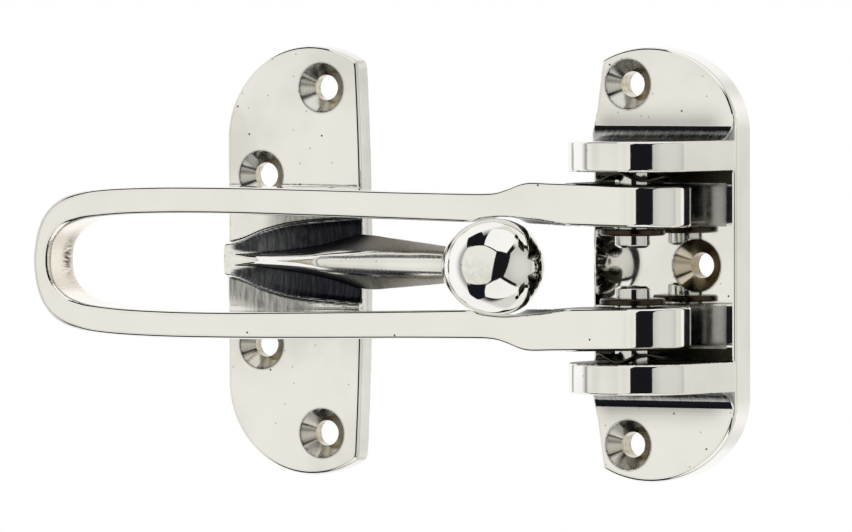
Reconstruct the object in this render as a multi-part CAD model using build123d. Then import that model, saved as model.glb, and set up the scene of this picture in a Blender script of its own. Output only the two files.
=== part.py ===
from build123d import *
import math
import os

# Swing-bar door guard, closed, as seen on a shut door.
# Frame: millimetres, +Z up, +X to the hinge side, back faces of both plates on Y = 0, fronts towards -Y.
# The origin is on the hinge plate's back face, straight behind the pivot axis, at mid-height.
# "Stand" below means distance in front of the back faces, so Y = -stand.

os.makedirs("parts", exist_ok=True)

# ---------------------------------------------------------------- driving dimensions
PLATE_H = 76.0            # height of both plates
CSK_R = 4.35              # countersink mouth radius
HOLE_R = 2.25             # screw clearance radius

# hinge plate
HP_T = 6.0                # thickness
HP_LEFT = -12.85          # left edge at mid-height
HP_CORNER_X = -11.1       # left edge at the end corners
HP_RIGHT = 14.8           # right edge
HP_END_A = 16.9           # half width and half height of the oval ends
HP_END_B = 14.8
HP_HOLE_X = -6.0          # outer screw pair
HP_HOLE_Z = 31.5
HP_MID_X = 7.2            # middle screw
HP_MID_CSK_R = 4.6        # its slightly wider countersink

# pivot and ears
PIN_STAND = 16.8          # pivot axis in front of the back face
PIN_R = 3.05
PIN_BORE_R = 3.10         # running bore in the bar
PIN_INNER_Z = 3.3         # inner end of each pin
EAR_R = 11.2              # round nose of the ear about the pivot
EAR_IN = 16.6             # inner face of each ear
EAR_OUT = 21.9            # outer face of each ear
EAR_FILLET = 4.4          # hollow between ear and plate, on the outer side

# swing bar
BAR_FRONT = 24.3          # front face
BAR_BACK = 14.6           # back face of the free length
KNUCKLE_BACK = 10.1       # back face at the knuckle
KNUCKLE_R = 9.3           # rounding of the front into the knuckle's side
KNUCKLE_TURN = 90.0       # how far that rounding turns, degrees
KNUCKLE_SIDE = 9.3        # right side at its back end
KNUCKLE_CORNER = 3.9      # back-right corner radius
BAR_TIP = -114.6          # outside of the round tip
SLOT_TIP = -111.0         # inside of the round tip

# ball and its plate
BP_T = 4.4                # thickness
BP_LEFT = -85.6
BP_RIGHT = -58.8          # right edge at mid-height
BP_CORNER_X = -59.8       # right edge at the end corners
BP_END_R = 16.5
BP_CORNER_R = 2.0         # rounding of the two right-hand corners
BP_HOLE_X = -66.8         # outer screw pair
BP_HOLE_Z = 30.6
BP_MID_X = -78.75         # inner screw pair
BP_MID_Z = 15.0
BALL_X = -21.8
BALL_STAND = 25.8
BALL_R = 8.4
BALL_LONG = 10.6          # half length on the arm's side, where the ball draws out a little
BALL_TILT = 16.0          # slope of the ball's long axis, degrees, as the arm's
BALL_CLEAR = 1.0          # room between ball and bar while the bar swings

# washers
RET_R = 5.7
RET_T = 1.15
RET_OUTER_Z = 6.6         # face next to the arm
WAVE_R = 6.4
WAVE_BORE_R = 3.15
WAVE_T = 0.45
WAVE_LOW_Z = 14.8         # side next to the arm

HALF = PLATE_H / 2


def front(face, stand0, stand1):
    """Solid from a face drawn in the front view, between two stands."""
    return Pos(0, -stand0, 0) * extrude(face, amount=stand1 - stand0)


def countersunk(x, z, stand, mouth=CSK_R):
    """Cutter for a countersunk screw hole whose mouth is at the given stand."""
    depth = mouth - HOLE_R
    bore = Pos(x, -stand / 2, z) * Rot(90, 0, 0) * Cylinder(HOLE_R, stand + 4)
    cone = Pos(x, -stand + depth / 2, z) * Rot(90, 0, 0) * Cone(HOLE_R, mouth, depth)
    lip = Pos(x, -stand - 1, z) * Rot(90, 0, 0) * Cylinder(mouth, 2)
    return bore + cone + lip


def on_circle(cx, cz, r, x, sign):
    return cz + sign * math.sqrt(r * r - (x - cx) ** 2)


# ---------------------------------------------------------------- hinge plate
hp_cx = HP_RIGHT - HP_END_A
hp_cz = HALF - HP_END_B
hp_sweep = math.degrees(math.acos((HP_CORNER_X - hp_cx) / HP_END_A))
with BuildSketch(Plane.XZ) as hp_sk:
    with BuildLine():
        upper = EllipticalCenterArc((hp_cx, hp_cz), HP_END_A, HP_END_B, start_angle=0, arc_size=hp_sweep)
        lower = EllipticalCenterArc((hp_cx, -hp_cz), HP_END_A, HP_END_B, start_angle=360 - hp_sweep, arc_size=hp_sweep)
        Spline(upper @ 1, (HP_LEFT + 0.3, 23.4), (HP_LEFT, 0), (HP_LEFT + 0.3, -23.4), lower @ 0)
        Line(lower @ 1, upper @ 0)
    make_face()
hinge_plate = front(hp_sk.sketch, 0, HP_T)

# ear outline in plan: round nose about the pivot, straight left side, right side sloping to the plate's right edge
px, ps = HP_RIGHT, HP_T - 0.6
dist = math.hypot(px, PIN_STAND - ps)
to_c = math.atan2(PIN_STAND - ps, -px)
tangent = to_c - math.asin(EAR_R / dist)
run = math.sqrt(dist * dist - EAR_R * EAR_R)
tx, ts = px + run * math.cos(tangent), ps + run * math.sin(tangent)
with BuildSketch(Plane.XY) as ear_sk:
    with BuildLine():
        Line((-EAR_R, -1.0), (-EAR_R, -PIN_STAND))
        ThreePointArc((-EAR_R, -PIN_STAND), (0, -PIN_STAND - EAR_R), (tx, -ts))
        Line((tx, -ts), (px, -ps))
        Line((px, -ps), (px, -1.0))
        Line((px, -1.0), (-EAR_R, -1.0))
    make_face()
for s in (1, -1):
    z0 = EAR_IN if s > 0 else -EAR_OUT
    ear = Pos(0, 0, z0) * extrude(ear_sk.sketch, amount=EAR_OUT - EAR_IN)
    # hollow blend on the outer side: a square strip with a quarter-round groove
    zf = EAR_OUT if s > 0 else -EAR_OUT - EAR_FILLET
    strip = Pos(0, 0, zf) * extrude(ear_sk.sketch, amount=EAR_FILLET)
    strip &= Pos(0, -(HP_T + EAR_FILLET) / 2, zf + EAR_FILLET / 2) * Box(60, HP_T + EAR_FILLET, EAR_FILLET)
    strip -= Pos(0, -(HP_T + EAR_FILLET), s * (EAR_OUT + EAR_FILLET)) * Rot(0, 90, 0) * Cylinder(EAR_FILLET, 80)
    hinge_plate = hinge_plate + ear + strip
for x, z, mouth in ((HP_HOLE_X, HP_HOLE_Z, CSK_R), (HP_HOLE_X, -HP_HOLE_Z, CSK_R), (HP_MID_X, 0, HP_MID_CSK_R)):
    hinge_plate -= countersunk(x, z, HP_T, mouth)
hinge_plate -= Pos(0, -PIN_STAND, 0) * Cylinder(PIN_R, 60)

# ---------------------------------------------------------------- swing bar
step_out, step_in = -16.6, -24.6
OUT = [(step_in, 12.77), (-30.0, 12.76), (-41.7, 12.88), (-61.0, 13.2), (-77.0, 13.36), (-90.0, 13.28), (-100.0, 12.83),
       (-105.0, 12.2), (-108.6, 11.2), (-111.0, 9.7), (-112.9, 7.4), (-114.1, 4.2), (BAR_TIP, 0.0)]
INN = [(-24.6, 7.5), (-42.0, 7.95), (-61.0, 8.36), (-77.0, 8.62), (-90.0, 8.5), (-99.0, 8.05), (-105.0, 7.2), (-108.4, 5.6),
       (-110.4, 3.2), (SLOT_TIP, 0.0)]
turn = math.radians(KNUCKLE_TURN)
kn_cs = BAR_FRONT - KNUCKLE_R          # stand of the rounding's centre
XR = KNUCKLE_R * math.sin(turn)
kn_s = kn_cs + KNUCKLE_R * math.cos(turn)
kn_c = KNUCKLE_CORNER * math.sqrt(0.5)
down = (0, -1)
with BuildSketch(Plane.XZ) as bar_sk:
    with BuildLine():
        Line((XR, 6.85), (XR, 14.2))
        Line((XR, 14.2), (step_out, 14.74))
        Spline((step_out, 14.74), (-20.6, 13.6), (step_in, 12.77), tangents=((-1, 0), (-1, 0)))
        Spline(*(OUT + [(x, -z) for x, z in OUT[-2::-1]]), tangents=((-1, 0), (1, 0)))
        Spline((step_in, -12.77), (-20.6, -13.6), (step_out, -14.74), tangents=((1, 0), (1, 0)))
        Line((step_out, -14.74), (XR, -14.2))
        Line((XR, -14.2), (XR, -6.85))
        Line((XR, -6.85), (-24.6, -7.5))
        Spline(*([(x, -z) for x, z in INN] + INN[-2::-1]), tangents=((-1, -0.03), (1, -0.03)))
        Line((-24.6, 7.5), (XR, 6.85))
    make_face()
bar = front(bar_sk.sketch, KNUCKLE_BACK, BAR_FRONT)
with BuildSketch(Plane.XY) as plan_sk:
    with BuildLine():
        Line((XR, -kn_s), (KNUCKLE_SIDE, -KNUCKLE_BACK - KNUCKLE_CORNER))
        ThreePointArc((KNUCKLE_SIDE, -KNUCKLE_BACK - KNUCKLE_CORNER), (KNUCKLE_SIDE - KNUCKLE_CORNER + kn_c, -KNUCKLE_BACK - KNUCKLE_CORNER + kn_c),
                      (KNUCKLE_SIDE - KNUCKLE_CORNER, -KNUCKLE_BACK))
        Line((KNUCKLE_SIDE - KNUCKLE_CORNER, -KNUCKLE_BACK), (-7.5, -KNUCKLE_BACK))
        Line((-7.5, -KNUCKLE_BACK), (-19.0, -BAR_BACK))
        Line((-19.0, -BAR_BACK), (-130, -BAR_BACK))
        Line((-130, -BAR_BACK), (-130, -BAR_FRONT))
        Line((-130, -BAR_FRONT), (0, -BAR_FRONT))
        ThreePointArc((0, -BAR_FRONT), (KNUCKLE_R * math.sin(turn / 2), -kn_cs - KNUCKLE_R * math.cos(turn / 2)), (XR, -kn_s))
    make_face()
bar &= Pos(0, 0, -20) * extrude(plan_sk.sketch, amount=40)
bar -= Pos(0, -PIN_STAND, 0) * Cylinder(PIN_BORE_R, 60)
# groove that the ball runs through as the bar swings about the pivot
ball_reach = math.hypot(BALL_X, BALL_STAND - PIN_STAND)
bar -= Pos(0, -PIN_STAND, 0) * Torus(ball_reach, BALL_R + BALL_CLEAR)

# ---------------------------------------------------------------- pins and washers
pins, retainers, waves = [], [], []
for s in (1, -1):
    mid = s * (PIN_INNER_Z + EAR_OUT) / 2
    pin = Pos(0, -PIN_STAND, mid) * Cylinder(PIN_R, EAR_OUT - PIN_INNER_Z)
    inner_end = pin.edges().filter_by(GeomType.CIRCLE).sort_by(lambda e: abs(e.center().Z))[0]
    pins.append(chamfer(inner_end, 0.35))
    zc = s * (RET_OUTER_Z - RET_T / 2)
    ring = Pos(0, -PIN_STAND, zc) * (Cylinder(RET_R, RET_T) - Cylinder(PIN_R, RET_T + 2))
    rim = ring.edges().filter_by(GeomType.CIRCLE).filter_by(lambda e: e.radius > 5).sort_by(lambda e: abs(e.center().Z))[0]
    retainers.append(chamfer(rim, 0.5))
    # spring washer: a wavy strip cut to a ring
    top = EAR_IN - WAVE_T
    mean, amp = (top + WAVE_LOW_Z) / 2, (top - WAVE_LOW_Z) / 2
    low = [(x * 0.5, mean + amp * math.cos(2 * math.pi * x * 0.5 / 8.6)) for x in range(-16, 17)]
    high = [(x, z + WAVE_T) for x, z in low]
    with BuildSketch(Plane.XZ) as wave_sk:
        with BuildLine():
            Spline(*low)
            Line(low[-1], high[-1])
            Spline(*high[::-1])
            Line(high[0], low[0])
        make_face()
    strip = Pos(0, -PIN_STAND + 8, 0) * extrude(wave_sk.sketch, amount=16)
    wave = strip & (Pos(0, -PIN_STAND, 15.7) * (Cylinder(WAVE_R, 6) - Cylinder(WAVE_BORE_R, 8)))
    waves.append(wave if s > 0 else mirror(wave, Plane.XY))

# ---------------------------------------------------------------- ball plate with its arm
bp_cx = BP_LEFT + BP_END_R
bp_cz = HALF - BP_END_R
bp_corner_z = on_circle(bp_cx, bp_cz, BP_END_R, BP_CORNER_X, 1)
with BuildSketch(Plane.XZ) as bp_sk:
    with BuildLine():
        ThreePointArc((BP_CORNER_X, -bp_corner_z), (BP_RIGHT, 0), (BP_CORNER_X, bp_corner_z))
        ThreePointArc((BP_CORNER_X, bp_corner_z), (bp_cx + BP_END_R * math.cos(math.radians(120)), bp_cz + BP_END_R * math.sin(math.radians(120))), (BP_LEFT, bp_cz))
        Line((BP_LEFT, bp_cz), (BP_LEFT, -bp_cz))
        ThreePointArc((BP_LEFT, -bp_cz), (bp_cx + BP_END_R * math.cos(math.radians(240)), -bp_cz + BP_END_R * math.sin(math.radians(240))), (BP_CORNER_X, -bp_corner_z))
    make_face()
    fillet([v for v in bp_sk.vertices() if abs(v.X - BP_CORNER_X) < 0.01], BP_CORNER_R)
ball_plate = front(bp_sk.sketch, 0, BP_T)

# arm stations: X, then (half height, stand) of rib edge, shoulder, widest line and foot
STATIONS = [
    (BP_LEFT, (0.9, 6.0), (1.6, 5.8), (2.8, 5.6), (2.9, 2.0)),
    (-80.5, (0.9, 6.1), (1.8, 5.85), (4.1, 5.5), (4.3, 2.0)),
    (-77.0, (0.9, 7.3), (2.1, 6.3), (5.5, 5.4), (5.7, 2.0)),
    (-70.0, (0.95, 10.8), (2.5, 8.7), (6.9, 5.4), (7.1, 2.0)),
    (-63.0, (1.0, 14.25), (2.9, 11.8), (7.2, 5.6), (7.3, 2.0)),
    (-58.8, (1.0, 15.45), (3.1, 13.2), (5.7, 9.0), (4.8, 3.6)),
    (-52.0, (1.05, 17.3), (3.2, 15.3), (4.95, 12.0), (3.2, 8.6)),
    (-44.0, (1.1, 19.45), (3.1, 17.6), (4.15, 15.0), (2.5, 12.1)),
    (-36.0, (1.2, 21.6), (2.9, 20.0), (3.45, 18.0), (2.0, 15.5)),
    (-27.0, (1.2, 24.0), (2.4, 22.9), (2.6, 21.6), (1.6, 20.2)),
]
sections = []
for x, *pts in STATIONS:
    ring = [Vector(x, -st, z) for z, st in pts] + [Vector(x, -st, -z) for z, st in pts[::-1]]
    sections.append(Face(Wire.make_polygon(ring, close=True)))
arm = Solid.make_loft([f.outer_wire() for f in sections], ruled=True)
ball_plate = ball_plate + arm
for x, z in ((BP_HOLE_X, BP_HOLE_Z), (BP_HOLE_X, -BP_HOLE_Z), (BP_MID_X, BP_MID_Z), (BP_MID_X, -BP_MID_Z)):
    ball_plate -= countersunk(x, z, BP_T)

with BuildSketch(Plane.XY) as ball_sk:
    with BuildLine():
        Line((-BALL_LONG, 0), (BALL_R, 0))
        ThreePointArc((BALL_R, 0), (BALL_R * math.sqrt(0.5), BALL_R * math.sqrt(0.5)), (0, BALL_R))
        EllipticalCenterArc((0, 0), BALL_LONG, BALL_R, start_angle=90, arc_size=90)
    make_face()
ball = Pos(BALL_X, -BALL_STAND, 0) * Rot(0, 0, -BALL_TILT) * revolve(ball_sk.sketch, Axis.X)
ball -= arm

# ---------------------------------------------------------------- files
PIECES = {
    "hinge_plate": hinge_plate,
    "swing_bar": bar,
    "upper_pivot_pin": pins[0],
    "lower_pivot_pin": pins[1],
    "upper_retaining_washer": retainers[0],
    "lower_retaining_washer": retainers[1],
    "upper_wave_washer": waves[0],
    "lower_wave_washer": waves[1],
    "ball_plate": ball_plate,
    "striker_ball": ball,
}
for name, shape in PIECES.items():
    export_step(shape, "parts/%s.step" % name)
    box = shape.bounding_box()
    print(name, len(shape.solids()), round(shape.volume, 1), [round(v, 2) for v in (*box.min, *box.max)])
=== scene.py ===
import math

import bpy
import numpy as np
from mathutils import Matrix, Vector


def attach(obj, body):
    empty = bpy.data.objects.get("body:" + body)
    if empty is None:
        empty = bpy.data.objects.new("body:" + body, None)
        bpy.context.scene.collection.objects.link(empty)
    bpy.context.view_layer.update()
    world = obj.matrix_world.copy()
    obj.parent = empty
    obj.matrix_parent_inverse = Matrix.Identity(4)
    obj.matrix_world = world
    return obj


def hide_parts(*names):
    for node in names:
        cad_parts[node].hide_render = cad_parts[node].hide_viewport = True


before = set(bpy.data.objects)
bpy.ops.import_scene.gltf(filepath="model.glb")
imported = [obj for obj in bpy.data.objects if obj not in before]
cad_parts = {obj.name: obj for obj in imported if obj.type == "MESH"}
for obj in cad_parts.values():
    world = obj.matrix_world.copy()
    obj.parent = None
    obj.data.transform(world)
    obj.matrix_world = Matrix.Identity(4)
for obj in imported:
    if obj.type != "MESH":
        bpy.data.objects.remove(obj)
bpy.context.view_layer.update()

scene = bpy.context.scene
STEP = 0.28          # mesh grid in millimetres

# All shapes below are written in millimetres as (x, f, z): f is the stand in front of the plates' back faces, so Y = -f.


# ---------------------------------------------------------------- shape tools
def cut(a, b, r):
    """Intersection of two distances with a rolled edge of radius r."""
    u, v = np.maximum(a + r, 0.0), np.maximum(b + r, 0.0)
    return np.minimum(np.maximum(a, b), -r) + np.sqrt(u * u + v * v)


def join(a, b, r):
    """Union of two distances with a hollow fillet of radius r."""
    u, v = np.maximum(r - a, 0.0), np.maximum(r - b, 0.0)
    return np.maximum(np.minimum(a, b), r) - np.sqrt(u * u + v * v)


def ease(lo, hi, t):
    t = np.clip((t - lo) / (hi - lo), 0.0, 1.0)
    return t * t * (3 - 2 * t)


def hinge_of(t, w):
    """0 for t < 0 and t for t > 0, rounded over w."""
    return 0.5 * (t + np.sqrt(t * t + w * w))


def arc(cx, cy, r, a0, a1, n):
    t = np.radians(np.linspace(a0, a1, n))
    return [(cx + r * math.cos(q), cy + r * math.sin(q)) for q in t]


def nose(cx, cy, r, a0, a1, n, flat, at, wide):
    """Arc that is polished a little flatter round the direction at."""
    out = []
    for t in np.linspace(a0, a1, n):
        q, u = math.radians(t), (t - at) / wide
        dip = flat * math.exp(-u * u)
        h, dh = r - dip, dip * 2 * u / math.radians(wide)
        out.append((cx + h * math.cos(q) - dh * math.sin(q), cy + h * math.sin(q) + dh * math.cos(q)))
    return out


def arc3(p, q, s, n):
    """Points on the circle through p, q and s, from p to s."""
    (ax, ay), (bx, by), (cx, cy) = p, q, s
    d = 2 * (ax * (by - cy) + bx * (cy - ay) + cx * (ay - by))
    ux = ((ax * ax + ay * ay) * (by - cy) + (bx * bx + by * by) * (cy - ay) + (cx * cx + cy * cy) * (ay - by)) / d
    uy = ((ax * ax + ay * ay) * (cx - bx) + (bx * bx + by * by) * (ax - cx) + (cx * cx + cy * cy) * (bx - ax)) / d
    r = math.hypot(ax - ux, ay - uy)
    t0, t1, t2 = (math.degrees(math.atan2(y - uy, x - ux)) for x, y in (p, q, s))
    while t1 - t0 > 180: t1 -= 360
    while t1 - t0 < -180: t1 += 360
    while t2 - t1 > 180: t2 -= 360
    while t2 - t1 < -180: t2 += 360
    return arc(ux, uy, r, t0, t2, n)


def spline(points, per):
    """Smooth curve through points (centripetal Catmull-Rom), per segments between each two."""
    p = np.array(points, float)
    p = np.vstack([2 * p[0] - p[1], p, 2 * p[-1] - p[-2]])
    out = []
    for i in range(1, len(p) - 2):
        t = [0.0]
        for k in range(3):
            t.append(t[-1] + max(np.linalg.norm(p[i + k] - p[i + k - 1]), 1e-9) ** 0.5)
        for q in np.linspace(t[1], t[2], per, endpoint=False):
            a1 = (t[1] - q) / (t[1] - t[0]) * p[i - 1] + (q - t[0]) / (t[1] - t[0]) * p[i]
            a2 = (t[2] - q) / (t[2] - t[1]) * p[i] + (q - t[1]) / (t[2] - t[1]) * p[i + 1]
            a3 = (t[3] - q) / (t[3] - t[2]) * p[i + 1] + (q - t[2]) / (t[3] - t[2]) * p[i + 2]
            b1 = (t[2] - q) / (t[2] - t[0]) * a1 + (q - t[0]) / (t[2] - t[0]) * a2
            b2 = (t[3] - q) / (t[3] - t[1]) * a2 + (q - t[1]) / (t[3] - t[1]) * a3
            out.append((t[2] - q) / (t[2] - t[1]) * b1 + (q - t[1]) / (t[2] - t[1]) * b2)
    out.append(p[-2])
    return [tuple(v) for v in out]


class Outline:
    """Distance to a closed flat outline, negative inside, sampled on a grid and read back with cubic weights."""

    def __init__(self, points, pad=2.4, h=0.15):
        a = np.array(points, float)
        a = a[np.linalg.norm(a - np.roll(a, -1, 0), axis=1) > 1e-6]
        b = np.roll(a, -1, 0)
        ab = b - a
        ll = (ab * ab).sum(1)
        self.h, self.lo = h, a.min(0) - pad
        n = np.ceil((a.max(0) + pad - self.lo) / h).astype(int) + 1
        gx = self.lo[0] + h * np.arange(n[0])
        gy = self.lo[1] + h * np.arange(n[1])
        p = np.stack(np.meshgrid(gx, gy, indexing="ij"), -1).reshape(-1, 2)
        out = np.empty(len(p))
        for i in range(0, len(p), 8192):
            q = p[i:i + 8192]
            dx, dy = q[:, :1] - a[:, 0], q[:, 1:] - a[:, 1]
            t = np.clip((dx * ab[:, 0] + dy * ab[:, 1]) / ll, 0, 1)
            d2 = ((dx - t * ab[:, 0]) ** 2 + (dy - t * ab[:, 1]) ** 2).min(1)
            above = (a[:, 1] > q[:, 1:]) != (b[:, 1] > q[:, 1:])
            with np.errstate(divide="ignore", invalid="ignore"):
                side = dx < ab[:, 0] * dy / ab[:, 1]
            inside = (above & side).sum(1) % 2 == 1
            out[i:i + 8192] = np.where(inside, -1, 1) * np.sqrt(d2)
        self.d, self.n = out.reshape(n), n

    def __call__(self, x, y):
        u = np.clip((x - self.lo[0]) / self.h, 1.0, self.n[0] - 2.001)
        v = np.clip((y - self.lo[1]) / self.h, 1.0, self.n[1] - 2.001)
        i, j = u.astype(int), v.astype(int)
        s, t = u - i, v - j

        def weights(q):
            return (-0.5 * q + q * q - 0.5 * q ** 3, 1 - 2.5 * q * q + 1.5 * q ** 3,
                    0.5 * q + 2 * q * q - 1.5 * q ** 3, -0.5 * q * q + 0.5 * q ** 3)
        wu, wv = weights(s), weights(t)
        flat, ny, r = self.d.ravel(), self.n[1], 0.0
        for k in range(4):
            row, acc = (i + k - 1) * ny + j - 1, 0.0
            for m in range(4):
                acc = acc + wv[m] * flat[row + m]
            r = r + wu[k] * acc
        # a point beyond the grid keeps counting its distance
        ox = np.maximum(np.maximum(self.lo[0] + self.h - x, x - (self.lo[0] + self.h * (self.n[0] - 2))), 0)
        oy = np.maximum(np.maximum(self.lo[1] + self.h - y, y - (self.lo[1] + self.h * (self.n[1] - 2))), 0)
        return r + np.hypot(ox, oy)


def slope_of(fun, p, e=0.02):
    g = np.empty_like(p)
    for k in range(3):
        q, r = p.copy(), p.copy()
        q[:, k] += e
        r[:, k] -= e
        g[:, k] = (fun(*q.T) - fun(*r.T)) / (2 * e)
    return g


def surface(fun, low, high, h, rings=()):
    """Quads on the zero surface of fun, with the vertices moved onto it: (points, quads, normals)."""
    low = np.array(low, float) - 2.3 * h
    high = np.array(high, float) + 2.3 * h
    nb = np.ceil((high - low) / (4 * h)).astype(int)
    mid = [low[k] + 4 * h * (np.arange(nb[k]) + 0.5) for k in range(3)]
    m = np.stack(np.meshgrid(*mid, indexing="ij"), -1).reshape(-1, 3)
    c = fun(*m.T).reshape(nb)
    near = np.abs(c) < 5.6 * h
    cells = near.repeat(4, 0).repeat(4, 1).repeat(4, 2)
    n = nb * 4 + 1
    points = np.zeros(n, bool)
    for i in (0, 1):
        for j in (0, 1):
            for k in (0, 1):
                points[i:i + 4 * nb[0], j:j + 4 * nb[1], k:k + 4 * nb[2]] |= cells
    take = [np.minimum(np.arange(n[k]) // 4, nb[k] - 1) for k in range(3)]
    d = c[np.ix_(*take)].copy()
    at = np.argwhere(points)
    val = np.empty(len(at))
    for i in range(0, len(at), 200000):
        q = low + h * at[i:i + 200000]
        val[i:i + 200000] = fun(*q.T)
    d[points] = val
    s = d < 0
    count = np.zeros(n - 1, np.uint8)
    for i in (0, 1):
        for j in (0, 1):
            for k in (0, 1):
                count += s[i:n[0] - 1 + i, j:n[1] - 1 + j, k:n[2] - 1 + k]
    active = (count > 0) & (count < 8)
    cell = np.argwhere(active)
    index = np.full(n - 1, -1, np.int64)
    index[active] = np.arange(len(cell))
    corners = [(i, j, k) for i in (0, 1) for j in (0, 1) for k in (0, 1)]
    value = np.stack([d[cell[:, 0] + i, cell[:, 1] + j, cell[:, 2] + k] for i, j, k in corners], 1)
    total, hits = np.zeros((len(cell), 3)), np.zeros(len(cell))
    for p in range(8):
        for q in range(p + 1, 8):
            a, b = np.array(corners[p], float), np.array(corners[q], float)
            if np.abs(a - b).sum() != 1:
                continue
            change = (value[:, p] < 0) != (value[:, q] < 0)
            with np.errstate(divide="ignore", invalid="ignore"):
                t = np.where(change, value[:, p] / (value[:, p] - value[:, q]), 0.0)
            total += np.where(change[:, None], a + t[:, None] * (b - a), 0.0)
            hits += change
    vert = low + h * (cell + total / hits[:, None])
    quads = []
    for axis in range(3):
        o1, o2 = (axis + 1) % 3, (axis + 2) % 3
        lo, hi = [slice(None)] * 3, [slice(None)] * 3
        lo[axis], hi[axis] = slice(0, -1), slice(1, None)
        change = s[tuple(lo)] != s[tuple(hi)]
        e = np.argwhere(change)
        e = e[(e[:, o1] > 0) & (e[:, o2] > 0) & (e[:, o1] < n[o1] - 1) & (e[:, o2] < n[o2] - 1)]
        out = s[e[:, 0], e[:, 1], e[:, 2]]
        ring = []
        for d1, d2 in ((-1, -1), (0, -1), (0, 0), (-1, 0)):
            q = e.copy()
            q[:, o1] += d1
            q[:, o2] += d2
            ring.append(index[q[:, 0], q[:, 1], q[:, 2]])
        ring = np.stack(ring, 1)
        ring[~out] = ring[~out][:, ::-1]
        quads.append(ring)
    quads = np.concatenate(quads)
    quads = quads[(quads >= 0).all(1)]
    for turn in range(4):
        v = fun(*vert.T)
        g = slope_of(fun, vert)
        gg = (g * g).sum(1)
        vert -= np.clip(v / np.maximum(gg, 0.05), -0.5 * h, 0.5 * h)[:, None] * g
    # vertices next to a sharp ring (x, z, radius, stand) move onto it, and the faces there take their normals from inside themselves
    sharp = np.zeros(len(vert), bool)
    for rx, rz, rr, rf in rings:
        dx, dz = vert[:, 0] - rx, vert[:, 2] - rz
        r = np.maximum(np.hypot(dx, dz), 1e-9)
        off = np.hypot(r - rr, vert[:, 1] - rf)
        m = off < 0.5 * h
        vert[m, 0], vert[m, 2], vert[m, 1] = rx + dx[m] / r[m] * rr, rz + dz[m] / r[m] * rr, rf
        sharp |= off < 1.3 * h
    g = slope_of(fun, vert)
    g /= np.maximum(np.linalg.norm(g, axis=1), 1e-9)[:, None]
    if not len(rings):
        return vert, quads, g
    corner = g[quads]
    near = np.flatnonzero(sharp[quads].any(1))
    mid = vert[quads[near]].mean(1)
    for k in range(4):
        p = 0.4 * vert[quads[near, k]] + 0.6 * mid
        e = slope_of(fun, p)
        corner[near, k] = e / np.maximum(np.linalg.norm(e, axis=1), 1e-9)[:, None]
    return vert, quads, g, corner


def to_frame(v):
    return np.stack([v[:, 0], -v[:, 1], v[:, 2]], 1)


def piece(name, vert, faces, normals, body, stands_for, corners=None):
    """A mesh piece in the row frame from millimetre points, with its own smooth normals."""
    co = to_frame(np.asarray(vert, float)) * (0.00099998, 0.001, 0.00099995)
    nn = to_frame(np.asarray(normals, float))
    faces = [np.asarray(f, np.int64) for f in faces] if isinstance(faces, list) else faces
    mesh = bpy.data.meshes.new(name)
    if isinstance(faces, list):
        sizes = np.array([len(f) for f in faces])
        loops = np.concatenate(faces)
    else:
        sizes = np.full(len(faces), faces.shape[1])
        loops = faces.ravel()
    starts = np.concatenate([[0], np.cumsum(sizes)[:-1]])
    # faces look the way of their normals
    first = loops[starts]
    e1 = co[loops[starts + 1]] - co[first]
    e2 = co[loops[starts + 2]] - co[first]
    facing = (np.cross(e1, e2) * nn[first]).sum(1)
    if np.median(np.sign(facing)) < 0:
        corners = None if corners is None else corners[:, ::-1]
        loops = np.concatenate([loops[a:a + n][::-1] for a, n in zip(starts, sizes)]) if isinstance(faces, list) else faces[:, ::-1].ravel()
    mesh.vertices.add(len(co))
    mesh.vertices.foreach_set("co", co.astype(np.float32).ravel())
    mesh.loops.add(len(loops))
    mesh.loops.foreach_set("vertex_index", loops.astype(np.int32))
    mesh.polygons.add(len(sizes))
    mesh.polygons.foreach_set("loop_start", starts.astype(np.int32))
    mesh.polygons.foreach_set("use_smooth", np.ones(len(sizes), bool))
    mesh.update(calc_edges=True)
    mesh.validate()
    if corners is None:
        mesh.normals_split_custom_set_from_vertices([tuple(v) for v in nn])
    else:
        mesh.normals_split_custom_set([tuple(v) for v in to_frame(corners.reshape(-1, 3))])
    o = bpy.data.objects.new(name, mesh)
    scene.collection.objects.link(o)
    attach(o, body)
    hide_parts(*stands_for)
    return o


def paint(o, name, values):
    """A value for each vertex that the material reads."""
    a = o.data.attributes.new(name, "FLOAT", "POINT")
    a.data.foreach_set("value", np.asarray(values, np.float32))


def zones(o, materials, pick):
    for m in materials:
        o.data.materials.append(m)
    o.data.polygons.foreach_set("material_index", np.asarray(pick, np.int32))


def face_mid(vert, faces):
    return vert[faces].mean(1)


# ---------------------------------------------------------------- sizes
PIN_F = 16.8
HOLES_HP = [(-6.0, 31.5, 4.35), (-6.0, -31.5, 4.35), (7.2, 0.0, 4.6)]
HOLES_BP = [(-66.8, 30.6, 4.35), (-66.8, -30.6, 4.35), (-78.75, 15.0, 4.35), (-78.75, -15.0, 4.35)]
BORE = 2.25


def screw_hole(x, f, z, hole, front):
    hx, hz, mouth = hole
    r = np.hypot(x - hx, z - hz)
    return np.maximum(np.minimum((r - mouth + (front - f)) * 0.70711, r - BORE), r - mouth - 0.3)


def plate_of(outline, x, f, z, t, front_r):
    o = outline(x, z)
    return o, cut(o, f - t, front_r)


# ---------------------------------------------------------------- hinge plate
def end_z(cx, cz, r, x):
    return cz + math.sqrt(r * r - (x - cx) ** 2)


sweep = math.degrees(math.acos((-11.1 + 2.1) / 16.9))
oval = [(-2.1 + 16.9 * math.cos(math.radians(t)), 23.2 + 14.8 * math.sin(math.radians(t))) for t in np.linspace(0, sweep, 90)]
left = spline([oval[-1], (-12.55, 23.4), (-12.85, 0.0), (-12.55, -23.4), (oval[-1][0], -oval[-1][1])], 24)
hp_points = oval + left[1:-1] + [(x, -z) for x, z in oval[::-1]]
hp_outline = Outline(hp_points)

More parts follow.
